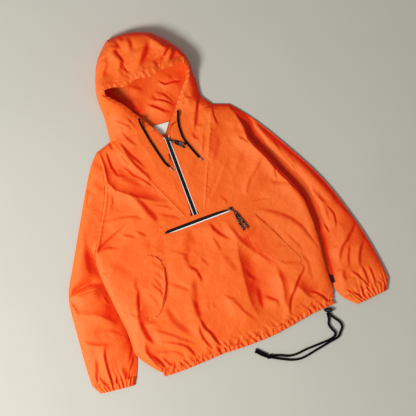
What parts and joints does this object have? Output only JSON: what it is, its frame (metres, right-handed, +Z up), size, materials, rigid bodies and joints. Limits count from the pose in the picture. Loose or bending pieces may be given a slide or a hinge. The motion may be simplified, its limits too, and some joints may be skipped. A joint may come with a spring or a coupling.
{
  "type": "anorak pullover",
  "caption": "Hooded nylon pullover anorak laid flat, face up, with a neck zip in a V-shaped bib, a chest pocket zip, D-shaped hand pockets, drawcords and gathered cuffs.",
  "frame": {"origin": "on the surface that the garment lies on, under the middle of its box, free drawcords left out", "axes": "+Z up from the surface, through the thin way of the laid-out garment; +Y from the hem towards the hood; +X to the right as the front is seen, towards the wearer's left sleeve. left and right in node names are as the front is seen"},
  "size_m": [0.948, 1.1092, 0.063],
  "materials": {
    "nylon": "crisp light nylon with a slight sheen",
    "zip_tape": "woven tape",
    "zip_black": "moulded teeth",
    "black_hardware": "moulded and coated trims",
    "cord_black": "braided cord",
    "cord_flecked": "braided cord with light flecks",
    "tip_grey": "matt moulding",
    "label_white": "satin ribbon, bare",
    "tab_black": "woven ribbon, bare"
  },
  "bodies": {
    "garment": {"front_panel": "nylon", "back_panel": "nylon", "bib_left": "nylon", "bib_right": "nylon", "sleeve_left": "nylon", "sleeve_right": "nylon", "cuff_left": "nylon", "cuff_right": "nylon", "hem_casing_front": "nylon", "hem_casing_back": "nylon", "hood_side_left": "nylon", "hood_side_right": "nylon", "hood_crown": "nylon", "hood_back": "nylon", "hood_casing": "nylon", "pocket_left": "nylon", "pocket_right": "nylon", "neck_zip_tape_left": "zip_tape", "neck_zip_tape_right": "zip_tape", "neck_zip_chain": "zip_black", "neck_zip_slider": "black_hardware", "pocket_zip_tape_lower": "zip_tape", "pocket_zip_tape_upper": "zip_tape", "pocket_zip_chain": "zip_black", "pocket_zip_slider": "black_hardware", "hood_eyelet_left": "black_hardware", "hood_eyelet_right": "black_hardware", "hood_cord_left": "cord_black", "hood_cord_right": "cord_black", "hood_cord_tip_left": "tip_grey", "hood_cord_tip_right": "tip_grey", "hem_cord_lock": "black_hardware", "hem_lock_button": "tip_grey", "hem_cord_a": "cord_black", "hem_cord_b": "cord_black", "hem_cord_knot": "cord_black", "hem_cord_tail_a": "cord_black", "hem_cord_tail_b": "cord_black", "neck_label": "label_white", "side_tab": "tab_black"},
    "neck_zip_pull": {"neck_pull_tab": "black_hardware", "neck_pull_knot": "cord_flecked", "neck_pull_cord_a": "cord_flecked", "neck_pull_cord_b": "cord_flecked"},
    "pocket_zip_pull": {"pocket_pull_tab": "black_hardware", "pocket_pull_knot": "cord_flecked", "pocket_pull_cord_a": "cord_flecked", "pocket_pull_cord_b": "cord_flecked"}
  },
  "joints": [
    {"name": "neck_pull_hinge", "type": "hinge", "parent": "garment", "child": "neck_zip_pull", "pos_m": [-0.001, 0.1589, 0.0217], "axis": [-0.613, -0.7901, 0], "range_deg": [0, 150]},
    {"name": "pocket_pull_hinge", "type": "hinge", "parent": "garment", "child": "pocket_zip_pull", "pos_m": [0.103, -0.1011, 0.0217], "axis": [-0.8729, -0.4879, 0], "range_deg": [0, 150]}
  ]
}
